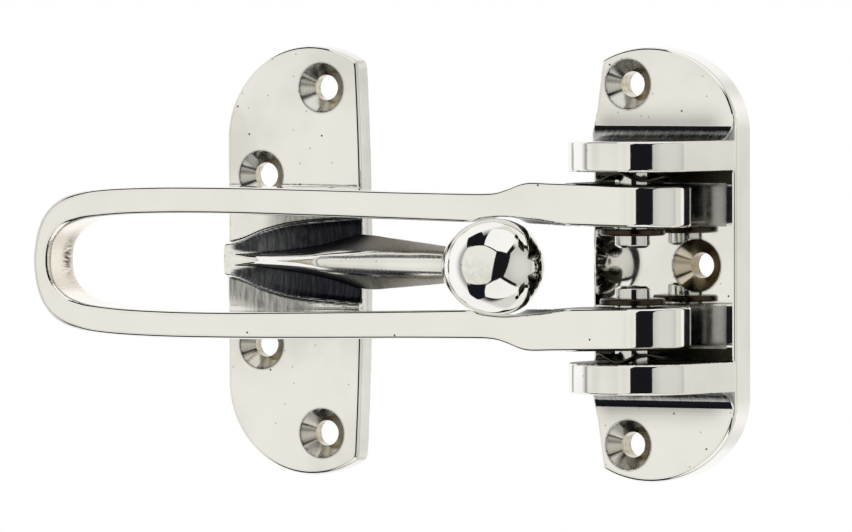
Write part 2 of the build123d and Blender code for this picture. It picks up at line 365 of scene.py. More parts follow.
px, ps, er = 14.8, 5.4, 11.2
ex = 0.8                                    # the ear's round nose sits a little to the right of the pivot
dist = math.hypot(px - ex, PIN_F - ps)
tang = math.atan2(PIN_F - ps, ex - px) - math.asin(er / dist)
run = math.sqrt(dist * dist - er * er)
tx, ts = px + run * math.cos(tang), ps + run * math.sin(tang)
a_ramp = math.degrees(math.atan2(ts - PIN_F, tx - ex))
ear_points = [(-13.4, -3.0), (-13.1, 5.4), (-12.35, 7.0), (-11.3, 8.8), (-10.75, 10.4), (-10.75, 12.4), (-11.05, 14.8)] + arc(0, PIN_F, er, 180, 93, 60) + nose(ex, PIN_F, er, 88, a_ramp, 100, 0.15, 61, 20)
ear_points += [(px + 1.6, ps + (ps - ts) / (px - tx) * 1.6), (px + 1.6, -3.0)]
ear_plan = Outline(ear_points)


def hinge_plate(x, f, z):
    o, plate = plate_of(hp_outline, x, f, z, 6.0, 0.82)
    az = np.abs(z)
    # the ears stand on the plate with a tight inner corner and a wide hollow on the outer side
    k = 0.3 + 4.1 * ease(18.6, 20.6, az)
    ears = cut(cut(join(f - 6.0, np.abs(az - 19.25) - 2.65, k), ear_plan(x, f), 0.45), o, 0.4)
    d = cut(np.minimum(plate, np.maximum(ears, az - 26.38)), -f, 0.3)
    for hole in HOLES_HP:
        d = cut(d, -screw_hole(x, f, z, hole, 6.0), 0.05)
    return cut(d, -(np.hypot(x, f - PIN_F) - 3.07), 0.12)


# ---------------------------------------------------------------- swing bar
OUT = [(-24.6, 12.77), (-30.0, 12.76), (-41.7, 12.88), (-61.0, 13.2), (-77.0, 13.36), (-90.0, 13.28), (-100.0, 12.83),
       (-105.0, 12.2), (-108.6, 11.2), (-111.0, 9.7), (-112.9, 7.4), (-114.1, 4.2), (-114.6, 0.0)]
INN = [(-24.6, 7.5), (-42.0, 7.95), (-61.0, 8.36), (-77.0, 8.62), (-90.0, 8.5), (-99.0, 8.05), (-105.0, 7.2), (-108.4, 5.6),
       (-110.4, 3.2), (-111.0, 0.0)]
out_line = spline([(-12.0, 14.66), (-16.6, 14.74), (-18.4, 14.4), (-20.6, 13.6), (-22.8, 12.96)] + OUT
                  + [(x, -z) for x, z in OUT[-2::-1]] + [(-22.8, -12.96), (-20.6, -13.6), (-18.4, -14.4), (-16.6, -14.74), (-12.0, -14.66)], 8)
in_line = spline([(-20.0, -7.41)] + [(x, -z) for x, z in INN] + INN[-2::-1] + [(-20.0, 7.41)], 8)
slot = Outline(in_line + [(-15.0, 7.3), (-15.0, -7.3)], 6.0, 0.3)
bar_points = [(11.0, 6.8), (11.0, 14.15)] + out_line + [(11.0, -14.15), (11.0, -6.8)] + in_line
bar_outline = Outline(bar_points)
bar_plan_points = ([(9.5, 16.1)] + arc(5.6, 14.0, 3.9, 0, -90, 40)
                   + spline([(4.0, 10.1), (-7.0, 10.1), (-9.0, 10.4), (-13.2, 12.36), (-17.6, 14.2), (-20.0, 14.6), (-26.0, 14.6)], 6)
                   + [(-117.0, 14.6), (-117.0, 23.8)] + spline([(-115.0, 23.82), (-104.0, 24.02), (-94.0, 24.2), (-84.0, 24.28), (-74.0, 24.3), (-60.0, 24.3)], 8) + [(-10.0, 24.3)]
                   + nose(1.3, 16.1, 8.2, 90, 0.0, 140, 0.16, 61, 20)[:-1])
bar_plan = Outline(bar_plan_points)
REACH = math.hypot(-21.8, 25.8 - PIN_F)
GROOVE = 9.0


def run_out(around, f):
    """Way off the ball's path, counted less near the front on the knuckle's side, where the scallop runs out slowly."""
    t = around - REACH
    return t + 0.60 * ease(19.4, 24.2, f) * hinge_of(-t, 1.2)


def groove_of(x, f, z):
    around = np.hypot(x, f - PIN_F)
    return np.hypot(run_out(around, f), z) - GROOVE + 0.36 * ease(4.0, 1.0, around - REACH)


def swing_bar(x, f, z):
    o = bar_outline(x, z)
    lean = ease(-105.5, -109.0, x) * ease(8.6, 7.0, np.abs(z)) * ease(2.2, 1.4, slot(x, z))
    d = cut(o + 0.055 * (f - 19.45) * lean, bar_plan(x, f), 0.66 + 0.5 * ease(-101.0, -110.0, x))
    around = np.hypot(x, f - PIN_F)
    d = cut(d, -groove_of(x, f, z), 0.3)
    return cut(d, -(around - 3.1), 0.14)


# ---------------------------------------------------------------- ball plate with its arm
cz = end_z(-69.1, 21.5, 16.5, -59.8)
a_right = math.degrees(math.atan2(cz - 21.5, -59.8 + 69.1))
soft_run = 1.06                             # straight length that each rounded corner takes away
turn_off = math.degrees(soft_run / 16.5)
side_line = [p for p in arc3((-59.8, -cz), (-58.8, 0), (-59.8, cz), 160) if abs(p[1]) < cz - soft_run]
half_oval = arc(-69.1, 21.5, 16.5, a_right + turn_off, 180, 70)


def bend(p, c, q, n=10):
    return [tuple((1 - t) ** 2 * np.array(p) + 2 * t * (1 - t) * np.array(c) + t * t * np.array(q)) for t in np.linspace(0, 1, n + 2)[1:-1]]


top_bend = bend(side_line[-1], (-59.8, cz), half_oval[0])
bp_points = half_oval + [(x, -z) for x, z in half_oval[::-1]] + [(x, -z) for x, z in top_bend[::-1]] + side_line + top_bend
bp_outline = Outline(bp_points)

RIB_X = [-90, -85.6, -83, -80.5, -79, -77, -73, -69, -65, -63.2, -61, -58.5, -56, -52, -48, -44, -40, -36, -32, -28, -22]
RIB_H = [5.9, 5.95, 6.0, 6.08, 6.42, 7.3, 9.3, 11.3, 13.3, 14.16, 14.83, 15.52, 16.2, 17.27, 18.34, 19.4, 20.5, 21.55, 22.6, 23.7, 25.3]
RIB_W = [1.5, 1.35, 1.05, 0.88, 0.85, 0.85, 0.85, 0.85, 0.85, 0.86, 0.88, 0.9, 0.92, 1.0, 1.06, 1.12, 1.18, 1.2, 1.2, 1.2, 1.2]
SHOULDER = [0.9, 0.7, 0.4, 0.25, 0.25, 0.25, 0.3, 0.4, 0.6, 0.75, 0.9, 1.0, 1.0, 1.05, 1.05, 1.0, 1.0, 0.95, 0.9, 0.8, 0.8]
FLANK = [3.0, 3.0, 4.5, 6.0, 6.0, 6.0, 6.0, 5.6, 5.0, 4.6, 4.0, 3.2, 2.4, 1.7, 1.6, 1.65, 1.8, 2.0, 2.2, 2.4, 2.4]
UNDER_X = [-90, -75, -62, -60, -58, -55, -52, -44, -36, -27, -22]
UNDER_F = [0.8, 0.8, 0.8, 1.3, 3.2, 6.4, 8.6, 12.1, 15.5, 20.2, 21.5]
UNDER_A = [3.6, 3.6, 3.6, 3.6, 3.5, 3.4, 3.2, 2.5, 2.0, 1.6, 1.6]
LEAF_X = [-90, -86, -84, -82.5, -81, -79, -77, -75, -73, -69, -65, -61, -58.5, -54]
LEAF_A = [2.2, 2.7, 3.0, 3.42, 4.0, 4.85, 5.5, 6.05, 6.45, 7.0, 7.35, 7.65, 7.8, 8.1]
RIM_H = [1.7, 1.65, 1.55, 1.48, 1.4, 1.3, 1.2, 1.13, 1.07, 0.98, 0.88, 0.79, 0.75, 0.7]
DISH = [0.0, 0.0, 0.35, 0.65, 0.9, 1.1, 1.15, 1.15, 1.14, 1.1, 1.08, 1.04, 1.0, 1.0]


def smooth_table(xs, ys):
    """Cubic reading of a table, so that slopes run on without steps."""
    xs, ys = np.array(xs, float), np.array(ys, float)
    m = np.gradient(ys, xs)

    def read(x):
        i = np.clip(np.searchsorted(xs, x) - 1, 0, len(xs) - 2)
        w = xs[i + 1] - xs[i]
        t = np.clip((x - xs[i]) / w, 0, 1)
        return ((2 * t ** 3 - 3 * t * t + 1) * ys[i] + (t ** 3 - 2 * t * t + t) * w * m[i]
                + (-2 * t ** 3 + 3 * t * t) * ys[i + 1] + (t ** 3 - t * t) * w * m[i + 1])
    return read


rib_h, rib_w, shoulder, flank = (smooth_table(RIB_X, t) for t in (RIB_H, RIB_W, SHOULDER, FLANK))
under_f, under_a = smooth_table(UNDER_X, UNDER_F), smooth_table(UNDER_X, UNDER_A)
leaf_a, rim_h, dish = (smooth_table(LEAF_X, t) for t in (LEAF_A, RIM_H, DISH))


def neck_top(x, a):
    w, s, m = rib_w(x), shoulder(x), flank(x)
    return rib_h(x) - 0.85 * hinge_of(a - w, 0.35) - (m - 0.85) * hinge_of(a - w - s, 0.4) + 0.03


def neck_under(x, a):
    return under_f(x) + 1.85 * hinge_of(a - under_a(x), 0.5)


def leaf_top(x, a):
    edge = leaf_a(x)
    inner = np.maximum(edge - 0.45, 0.3)
    t = np.clip(a / inner, 0, 1.3)
    bowl = dish(x) * np.clip(1 - t ** 6, 0, 1)
    return 4.4 + rim_h(x) - bowl - 3.2 * hinge_of(a - edge, 0.3)


def level(fun, x, f, a, sign):
    """Distance to a height surface, evened out by its slope."""
    e = 0.05
    p = fun(x, a)
    sa = (fun(x, a + e) - fun(x, np.maximum(a - e, 0))) / (2 * e)
    sx = (fun(x + e, a) - fun(x - e, a)) / (2 * e)
    return sign * (f - p) / np.sqrt(1 + sa * sa + sx * sx)


def arm_neck(x, f, z):
    a = np.abs(z)
    d = cut(level(neck_top, x, f, a, 1), level(neck_under, x, f, a, -1), 0.3)
    return np.maximum(np.maximum(d, -86.4 - x), x + 24.0)


def arm_leaf(x, f, z):
    a = np.abs(z)
    d = level(leaf_top, x, f, a, 1)
    return np.maximum(d, -(f - 2.0))


def ball_plate(x, f, z):
    o, plate = plate_of(bp_outline, x, f, z, 4.4, 0.82)
    leaf = cut(arm_leaf(x, f, z), o, 0.4)
    neck = cut(arm_neck(x, f, z), -85.6 - x, 0.5)
    d = cut(join(join(plate, leaf, 0.25), neck, 0.3), -f, 0.3)
    for hole in HOLES_BP:
        d = cut(d, -screw_hole(x, f, z, hole, 4.4), 0.05)
    return d


# ---------------------------------------------------------------- studio: directions of the light panels as (azimuth, elevation)
def direction(az, el):
    a, e = math.radians(az), math.radians(el)
    return Vector((math.sin(a) * math.cos(e), -math.cos(a) * math.cos(e), math.sin(e)))


scene.view_settings.view_transform = "Standard"
world = bpy.data.worlds.new("studio")
scene.world = world
world.use_nodes = True
wt = world.node_tree
wt.nodes.clear()
wn, wl = wt.nodes.new, wt.links.new
w_out, w_back = wn("ShaderNodeOutputWorld"), wn("ShaderNodeBackground")
w_dir = wn("ShaderNodeTexCoord").outputs["Generated"]


def wmath(op, a, b=None, c=None):
    n = wn("ShaderNodeMath")
    n.operation = op
    for i, v in enumerate((a, b, c)):
        if v is None:
            continue
        if isinstance(v, (int, float)):
            n.inputs[i].default_value = v
        else:
            wl(v, n.inputs[i])
    return n.outputs[0]


def wdot(v):
    n = wn("ShaderNodeVectorMath")
    n.operation = "DOT_PRODUCT"
    wl(w_dir, n.inputs[0])
    n.inputs[1].default_value = v
    return n.outputs["Value"]


def wstep(value, lo, hi):
    n = wn("ShaderNodeMapRange")
    n.interpolation_type = "SMOOTHSTEP"
    wl(value, n.inputs["Value"])
    n.inputs["From Min"].default_value, n.inputs["From Max"].default_value = lo, hi
    return n.outputs["Result"]


def wmix(fac, a, b):
    n = wn("ShaderNodeMix")
    n.data_type = "RGBA"
    wl(fac, n.inputs[0])
    for i, v in ((6, a), (7, b)):
        if isinstance(v, tuple):
            n.inputs[i].default_value = (*v, 1)
        else:
            wl(v, n.inputs[i])
    return n.outputs[2]


def wpanel(below, corners, colour, soft=0.006, blur=()):
    """A flat panel of light, or a dark one, with straight sides between these directions; sides named in blur are softer."""
    d = [direction(*c) for c in corners]
    centre = sum(d, Vector((0, 0, 0))).normalized()
    least = None
    for i, (p, q) in enumerate(zip(d, d[1:] + d[:1])):
        n = p.cross(q).normalized()
        if n.dot(centre) < 0:
            n = -n
        s = wdot(tuple(n * (0.12 if i in blur else 1.0)))
        least = s if least is None else wmath("MINIMUM", least, s)
    return wmix(wstep(least, -soft, soft), below, colour)


def fade(axis, lo, hi, a, b):
    """Colour that runs from a to b along a direction."""
    return wmix(wstep(wdot(tuple(axis)), lo, hi), a, b)


WHITE, DARK = (1.0, 0.995, 0.985), (0.010, 0.010, 0.012)
# behind: paper that darkens towards the dim room straight behind
rise = wmath("ABSOLUTE", wdot((0, 0, 1)))
toward = wmath("SUBTRACT", wdot(tuple(direction(183, 0))), wmath("MULTIPLY", rise, 0.35))
behind = wmix(wstep(toward, 0.66, 0.80), (0.745, 0.73, 0.685), (0.97, 0.955, 0.915))
behind = wmix(wstep(toward, 0.79, 0.93), behind, (0.66, 0.645, 0.60))
behind = wmix(wstep(toward, 0.93, 0.965), behind, (0.02, 0.02, 0.021))
sky = wmix(wstep(wdot((0, 1, 0)), -0.15, 0.05), DARK, behind)
# white paper to the far left, past a soft grey seam
for az0, az1, lo, hi, tone in ((-58, -54, -0.02, 0.02, (0.31, 0.305, 0.295)), (-65, -61, 0.015, 0.30, WHITE)):
    seam = direction(az0, 33).cross(direction(az1, -30)).normalized()
    if seam.dot(direction(-100, 0)) < 0:
        seam = -seam
    part = wmath("MULTIPLY", wstep(wdot(tuple(seam)), lo, hi), wstep(wdot(tuple(direction(-110, 0))), 0.0, 0.35))
    sky = wmix(part, sky, tone)
folds = wn("ShaderNodeTexNoise")
wl(w_dir, folds.inputs["Vector"])
folds.inputs["Scale"].default_value = 5.0
folds.inputs["Detail"].default_value = 2.0
beige = fade(Vector((0.35, 0, 0.94)), -0.5, 0.55, (0.76, 0.745, 0.685), (0.86, 0.85, 0.80))
beige = wmix(wstep(folds.outputs["Fac"], 0.35, 0.7), beige, (0.88, 0.865, 0.81))
sky = wpanel(sky, [(-67, 32), (-50, 42), (-17, 50), (25, 37), (10.5, -30), (-4, -39), (-37, -36), (-62, -28)], beige, blur=(7,))
cool = fade(direction(85, 0), 0.80, 0.99, (0.57, 0.565, 0.53), (0.70, 0.695, 0.655))
sky = wpanel(sky, [(-20, 52), (27, 40), (53, 34), (118, 53), (150, 66), (-130, 74)], (0.98, 0.975, 0.95))
sky = wpanel(sky, [(64, 32), (112, 46), (119, 26), (119, -14), (107, -37), (43, -21)], cool)
sky = wpanel(sky, [(35, -25), (108, -41), (26, -80), (-43, -65), (-6, -41), (15, -33)], (1.0, 0.99, 0.97))
sky = wpanel(sky, [(-70, 33), (-94, 42), (-99, 62), (-31, 64), (-20, 53), (-50, 44)], DARK)
sky = wpanel(sky, [(-64, -30), (-84, -44), (-86, -58), (-43, -68), (-9, -41), (-37, -38)], (0.010, 0.011, 0.016))
seen = wn("ShaderNodeLightPath").outputs["Is Camera Ray"]
wl(wmix(seen, sky, (1.0, 1.0, 1.0)), w_back.inputs["Color"])
wl(w_back.outputs[0], w_out.inputs["Surface"])

# ---------------------------------------------------------------- materials
class Nodes:
    def __init__(self, name):
        self.m = bpy.data.materials.new(name)
        self.m.use_nodes = True
        self.t = self.m.node_tree
        self.b = self.t.nodes["Principled BSDF"]
        self.place = self.t.nodes.new("ShaderNodeTexCoord").outputs["Object"]

    def link(self, a, b):
        self.t.links.new(a, b)

    def put(self, socket, v):
        if isinstance(v, (int, float)):
            socket.default_value = v
        elif isinstance(v, tuple):
            socket.default_value = (*v, 1) if len(v) == 3 and socket.type == "RGBA" else v
        else:
            self.link(v, socket)

    def math(self, op, a, b=0.0, clamp=False):
        n = self.t.nodes.new("ShaderNodeMath")
        n.operation, n.use_clamp = op, clamp
        self.put(n.inputs[0], a)
        self.put(n.inputs[1], b)
        return n.outputs[0]

    def scaled(self, s):
        n = self.t.nodes.new("ShaderNodeMapping")
        self.link(self.place, n.inputs[0])
        n.inputs["Scale"].default_value = s
        return n.outputs[0]

    def noise(self, scale, detail=3.0, rough=0.5, at=None):
        n = self.t.nodes.new("ShaderNodeTexNoise")
        self.link(self.place if at is None else at, n.inputs["Vector"])
        n.inputs["Scale"].default_value = scale
        n.inputs["Detail"].default_value = detail
        n.inputs["Roughness"].default_value = rough
        return n.outputs["Fac"]

    def cells(self, scale):
        """Scattered points over the front view."""
        m = self.t.nodes.new("ShaderNodeMapping")
        self.link(self.place, m.inputs[0])
        m.inputs["Rotation"].default_value = (math.pi / 2, 0, 0)
        n = self.t.nodes.new("ShaderNodeTexVoronoi")
        n.voronoi_dimensions = "2D"
        self.link(m.outputs[0], n.inputs["Vector"])
        n.inputs["Scale"].default_value = scale
        return n.outputs["Distance"], n.outputs["Color"]

    def frontal(self):
        """1 on faces that look to the front or the back."""
        n = self.t.nodes.new("ShaderNodeSeparateXYZ")
        self.link(self.t.nodes.new("ShaderNodeNewGeometry").outputs["Normal"], n.inputs[0])
        return self.math("GREATER_THAN", self.math("ABSOLUTE", n.outputs[1]), 0.9)

    def span(self, v, lo, hi, a=0.0, b=1.0):
        n = self.t.nodes.new("ShaderNodeMapRange")
        n.interpolation_type = "SMOOTHSTEP"
        self.link(v, n.inputs["Value"])
        for s, q in zip(("From Min", "From Max", "To Min", "To Max"), (lo, hi, a, b)):
            n.inputs[s].default_value = q
        return n.outputs["Result"]

    def mix(self, fac, a, b):
        n = self.t.nodes.new("ShaderNodeMix")
        n.data_type = "RGBA"
        self.link(fac, n.inputs[0])
        self.put(n.inputs[6], a)
        self.put(n.inputs[7], b)
        return n.outputs[2]

    def bump(self, height, distance, strength=1.0, under=None):
        n = self.t.nodes.new("ShaderNodeBump")
        n.inputs["Strength"].default_value = strength
        n.inputs["Distance"].default_value = distance
        self.link(height, n.inputs["Height"])
        if under is not None:
            self.link(under, n.inputs["Normal"])
        return n.outputs["Normal"]

    def read(self, name):
        n = self.t.nodes.new("ShaderNodeAttribute")
        n.attribute_name = name
        return n.outputs["Fac"]

    def metal(self, colour, rough, normal=None):
        self.b.inputs["Metallic"].default_value = 1.0
        self.put(self.b.inputs["Base Color"], colour)
        self.put(self.b.inputs["Roughness"], rough)
        if normal is not None:
            self.link(normal, self.b.inputs["Normal"])
        return self.m


def chrome(name, cast_and_shade=False, stain=False, dull_and_shade=False):
    """Mirror plating over a hand-polished casting: long soft waves, faint hairlines, a few dark pits."""
    k = Nodes(name)
    long = k.noise(55, 2.0, 0.45)
    hair = k.noise(1.0, 3.0, 0.6, k.scaled((260, 900, 2600)))
    n = k.bump(long, 0.00007, 1.0)
    n = k.bump(hair, 0.0000012, 1.0, n)
    haze = k.noise(130, 4.0, 0.6)
    cloud = k.noise(62, 3.0, 0.55)
    rough = k.span(haze, 0.35, 0.75, 0.035, 0.075)
    near, tint = k.cells(150)
    chosen = k.math("MULTIPLY", k.math("GREATER_THAN", tint, 0.66), k.frontal())
    pit = k.math("MULTIPLY", k.span(near, 0.014, 0.040, 1.0, 0.0), chosen)
    if not stain:
        fine, pick = k.cells(310)
        chosen = k.math("MULTIPLY", k.math("GREATER_THAN", pick, 0.68), k.frontal())
        pit = k.math("MAXIMUM", pit, k.math("MULTIPLY", k.span(fine, 0.02, 0.07, 0.50, 0.0), chosen))
    colour = k.mix(haze, (0.90, 0.893, 0.865), (0.975, 0.967, 0.945))
    tone = (0.79, 0.78, 0.75) if cast_and_shade else (0.90, 0.892, 0.865) if stain else (0.835, 0.825, 0.795)
    colour = k.mix(k.span(cloud, 0.36 if cast_and_shade else 0.42, 0.75), colour, tone)
    colour = k.mix(pit, colour, (0.05, 0.045, 0.04))
    if dull_and_shade:
        # painted shade: where the value read here is set, a brushed dark grey stands in for shade in hollows and along
        # edges, over metal that is partly unpolished there
        brush = k.noise(1.0, 4.0, 0.65, k.scaled((1700, 320, 260)))
        patch = k.noise(240, 2.0, 0.5)
        where = k.math("MULTIPLY", k.read("dull_and_shade"), k.span(patch, 0.15, 0.5, 0.6, 1.0))
        colour = k.mix(where, colour, k.mix(k.span(brush, 0.3, 0.72), (0.22, 0.222, 0.22), (0.52, 0.52, 0.505)))
        rough = k.math("ADD", rough, k.math("MULTIPLY", where, k.span(brush, 0.3, 0.8, 0.14, 0.26)))
        # painted shade: a near-black outline round the mouth of each hole
        colour = k.mix(k.math("MULTIPLY", k.read("lip_shade"), 0.75), colour, (0.05, 0.05, 0.045))
        # painted shade on the flat next to the hollows beside the ears
        colour = k.mix(k.read("soft"), colour, (0.26, 0.255, 0.24))
        n = k.bump(k.math("MULTIPLY", brush, where), 0.00003, 1.0, n)
    if cast_and_shade:
        # unpolished cast metal in the flutes, and painted shade: the same dark colour lays dark lines along the neck's
        # rib
        streak = k.noise(1.0, 4.0, 0.65, k.scaled((2300, 260, 260)))
        blotch = k.noise(300, 3.0, 0.6)
        lighter = k.read("lighter")
        raw_and_shade_colour = k.mix(k.span(streak, 0.42, 0.74), k.mix(lighter, (0.016, 0.017, 0.024), (0.055, 0.058, 0.066)),
                    k.mix(lighter, (0.055, 0.057, 0.070), (0.185, 0.19, 0.20)))
        raw_and_shade_colour = k.mix(k.span(blotch, 0.50, 0.82), raw_and_shade_colour, (0.012, 0.012, 0.016))
        where = k.read("cast_and_shade")
        warm = k.read("warm")
        raw_and_shade_colour = k.mix(warm, raw_and_shade_colour, k.mix(streak, (0.24, 0.22, 0.19), (0.46, 0.43, 0.375)))
        colour = k.mix(where, colour, raw_and_shade_colour)
        rough = k.math("ADD", rough, k.math("MULTIPLY", where, k.span(streak, 0.3, 0.8, 0.22, 0.40)))
        n = k.bump(k.math("MULTIPLY", streak, where), 0.00005, 1.0, n)
    if stain:
        where = k.read("stain")
        dash = k.noise(1.0, 3.0, 0.7, k.scaled((120, 420, 2300)))
        spot = k.math("MULTIPLY", k.span(dash, 0.37, 0.52), k.read("dash"))
        tan = k.mix(spot, (1.0, 0.945, 0.865), (0.085, 0.055, 0.03))
        colour = k.mix(where, colour, tan)
        rough = k.math("ADD", rough, k.math("MULTIPLY", where, 0.12))
        n = k.bump(k.math("MULTIPLY", dash, where), 0.00008, 1.0, n)
    return k.metal(colour, rough, n)


def turned(name):
    """Plated countersink with the rings that the cutter left."""
    k = Nodes(name)
    r = k.read("ring")
    wob = k.noise(700, 2.0)
    wave = k.math("SINE", k.math("ADD", k.math("MULTIPLY", r, 2 * math.pi / 0.42), k.math("MULTIPLY", wob, 0.5)))
    n = k.bump(wave, 0.00000012, 1.0)
    haze = k.noise(240, 3.0)
    colour = k.mix(haze, (0.66, 0.65, 0.615), (0.84, 0.825, 0.79))
    colour = k.mix(k.span(wave, 0.55, 1.0, 0.0, 0.20), colour, (0.30, 0.28, 0.24))
    colour = k.mix(k.read("brass"), colour, k.mix(haze, (0.50, 0.42, 0.29), (0.70, 0.61, 0.45)))
    # painted shade: the cones are darkened across the top and right side with two thin dark wedges, and a dark outline
    # is painted round the hole's mouth
    colour = k.mix(k.math("MULTIPLY", k.read("shade"), 0.80), colour, (0.085, 0.085, 0.075))
    colour = k.mix(k.math("MULTIPLY", k.read("lip_shade"), 0.85), colour, (0.05, 0.05, 0.045))
    return k.metal(colour, k.span(haze, 0.3, 0.75, 0.11, 0.18), n)


def brassy(name):
    """Thin plating inside the drilled hole, with the base metal showing."""
    k = Nodes(name)
    v = k.noise(1.0, 3.0, 0.6, k.scaled((500, 1900, 500)))
    colour = k.mix(k.span(v, 0.3, 0.7), (0.52, 0.46, 0.35), (0.90, 0.86, 0.76))
    colour = k.mix(k.read("brass"), colour, k.mix(v, (0.13, 0.092, 0.045), (0.40, 0.31, 0.18)))
    return k.metal(colour, k.span(v, 0.3, 0.7, 0.10, 0.24), k.bump(v, 0.00003))


def ground(name):
    """Flat back, ground on a belt and thinly plated."""
    k = Nodes(name)
    line = k.noise(1.0, 5.0, 0.7, k.scaled((45, 45, 2600)))
    cloud = k.noise(70, 3.0)
    colour = k.mix(line, (0.46, 0.455, 0.44), (0.70, 0.695, 0.675))
    colour = k.mix(k.span(cloud, 0.45, 0.85), colour, (0.52, 0.50, 0.455))
    return k.metal(colour, k.span(line, 0.25, 0.8, 0.26, 0.42), k.bump(line, 0.00002))


def gap_face_shaded(name):
    """Faces that rub in the hinge gaps: unpolished and oiled, and painted near black for the shade in the gaps."""
    k = Nodes(name)
    v = k.noise(650, 4.0, 0.65)
    w = k.noise(180, 2.0)
    colour = k.mix(v, (0.010, 0.010, 0.007), (0.085, 0.08, 0.055))
    colour = k.mix(k.span(w, 0.5, 0.75), colour, (0.06, 0.065, 0.04))
    return k.metal(colour, k.span(v, 0.3, 0.8, 0.28, 0.5), k.bump(v, 0.00005))


def spun(name, dark, light, lo, hi, scale=(300, 300, 2600), depth=0.000006):
    """Turned steel or bronze with fine rings round its axis."""
    k = Nodes(name)
    line = k.noise(1.0, 3.0, 0.6, k.scaled(scale))
    spot = k.noise(480, 4.0, 0.65)
    colour = k.mix(spot, dark, light)
    return k.metal(colour, k.span(k.math("MULTIPLY", k.math("ADD", line, spot), 0.5), 0.3, 0.7, lo, hi), k.bump(line, depth))


m_chrome = chrome("chrome_plate")
m_plate = chrome("chrome_casting", dull_and_shade=True)
# the plate between the ears behind the knuckle: a duller mid grey, partly unpolished metal and partly painted shade of
# that recess
m_slot_shade = spun("slot_floor_shaded", (0.36, 0.36, 0.345), (0.56, 0.555, 0.535), 0.13, 0.22, (260, 260, 1900), 0.00001)
# painted shade: the ball's scallop in the bar is dark grey, and its run-out by the knuckle near black, in place of its
# dark reflections
m_groove_shade = spun("bar_groove_shaded", (0.045, 0.045, 0.042), (0.30, 0.295, 0.28), 0.14, 0.32, (900, 900, 260), 0.00002)
m_run_out_shade = spun("groove_run_out_shaded", (0.012, 0.012, 0.011), (0.085, 0.083, 0.078), 0.12, 0.28, (900, 900, 260), 0.00002)
m_arm = chrome("chrome_arm", cast_and_shade=True, dull_and_shade=True)
m_bar = chrome("chrome_bar", stain=True, dull_and_shade=True)
m_turned = turned("turned_countersink")
m_brass = brassy("drilled_hole")
m_ground = ground("ground_back")
m_gap_shade = gap_face_shaded("hinge_gap_shaded")
m_pin = spun("pin_steel", (0.62, 0.61, 0.585), (0.86, 0.85, 0.82), 0.05, 0.16)
m_bronze = spun("bronzed_washer", (0.010, 0.008, 0.006), (0.085, 0.064, 0.044), 0.16, 0.34, (900, 900, 900), 0.00001)
m_spring = spun("dark_spring_steel", (0.02, 0.02, 0.015), (0.10, 0.10, 0.075), 0.2, 0.4, (900, 900, 900), 0.00001)


# ---------------------------------------------------------------- large pieces
def plate_zones(vert, quads, normals, holes, front):
    """0 polished, 1 countersink, 2 drilled hole, 3 ground back."""
    mid, nn = face_mid(vert, quads), face_mid(normals, quads)
    pick = np.zeros(len(quads), int)
    pick[(mid[:, 1] < 0.03) & (nn[:, 1] < -0.8)] = 3
    ring, inner, shade, lip_shade = (np.zeros(len(vert)) for _ in range(4))
    for hx, hz, mouth in holes:
        r = np.hypot(mid[:, 0] - hx, mid[:, 2] - hz)
        inside = (r < mouth + 0.02) & (mid[:, 1] < front - 0.1) & (mid[:, 1] > 0.02)
        deep = mid[:, 1] < front - (mouth - BORE) - 0.05
        pick[inside & ~deep] = 1
        pick[inside & deep] = 2
        rv = np.hypot(vert[:, 0] - hx, vert[:, 2] - hz)
        close = rv < mouth + 0.3
        ring[close] = rv[close]
        # bare metal shows at the bore, and all over the cones the plating hardly reached
        thin = 0.85 if (hx, hz) == (7.2, 0.0) else 0.08 if hz > 0 else 0.25
        inner[close] = np.maximum(inner[close], np.maximum(thin, 0.5 * np.exp(-((rv[close] - BORE) / 0.3) ** 2) * (vert[close, 1] > front - mouth + BORE - 0.1)))
        # painted shade on each cone: darker over the top and right, with two thin dark wedges on the left; less on the
        # middle hole
        way = np.degrees(np.arctan2(vert[close, 2] - hz, vert[close, 0] - hx))
        dark = ease(-50, -8, way) * ease(158, 128, way) * (1 - 0.28 * ease(40, 95, way))
        dark = np.maximum(dark, np.maximum(0.8 * np.exp(-((way - 171) / 6) ** 2), 0.75 * np.exp(-((way + 150) / 5) ** 2)))
        shade[close] = dark * (0.7 if thin > 0.8 else 1.0)
        # painted shade: the dark outline round each hole's mouth
        lip_shade[close] = np.maximum(lip_shade[close], np.exp(-((rv[close] - mouth) / 0.17) ** 2) * (vert[close, 1] > front - 0.6))
    return pick, ring, inner, shade, lip_shade


def hole_rings(holes, front):
    out = []
    for hx, hz, mouth in holes:
        out += [(hx, hz, mouth, front), (hx, hz, BORE, front - (mouth - BORE))]
    return out


v, q, n, c = surface(hinge_plate, (-12.9, 0, -38), (14.8, 28.0, 38), STEP, hole_rings(HOLES_HP, 6.0))
o = piece("hinge_plate_body", v, q, n, "plates", ["hinge_plate"], c)
pick, ring, inner, shade, lip_shade = plate_zones(v, q, n, HOLES_HP, 6.0)
mid, nn = face_mid(v, q), face_mid(n, q)
# painted shade: the ears' inner faces, the pin bores and the plate between ear and knuckle are near black
pick[(np.abs(np.abs(mid[:, 2]) - 16.6) < 0.2) & (mid[:, 1] > 6.3) & (np.abs(nn[:, 2]) > 0.85)] = 4
pick[(np.hypot(mid[:, 0], mid[:, 1] - PIN_F) < 3.2) & (np.abs(mid[:, 2]) > 15)] = 4
pick[(np.abs(mid[:, 1] - 6.0) < 0.3) & (np.abs(np.abs(mid[:, 2]) - 15.5) < 1.25) & (mid[:, 0] < 13.9) & (mid[:, 0] > -12.3)] = 4
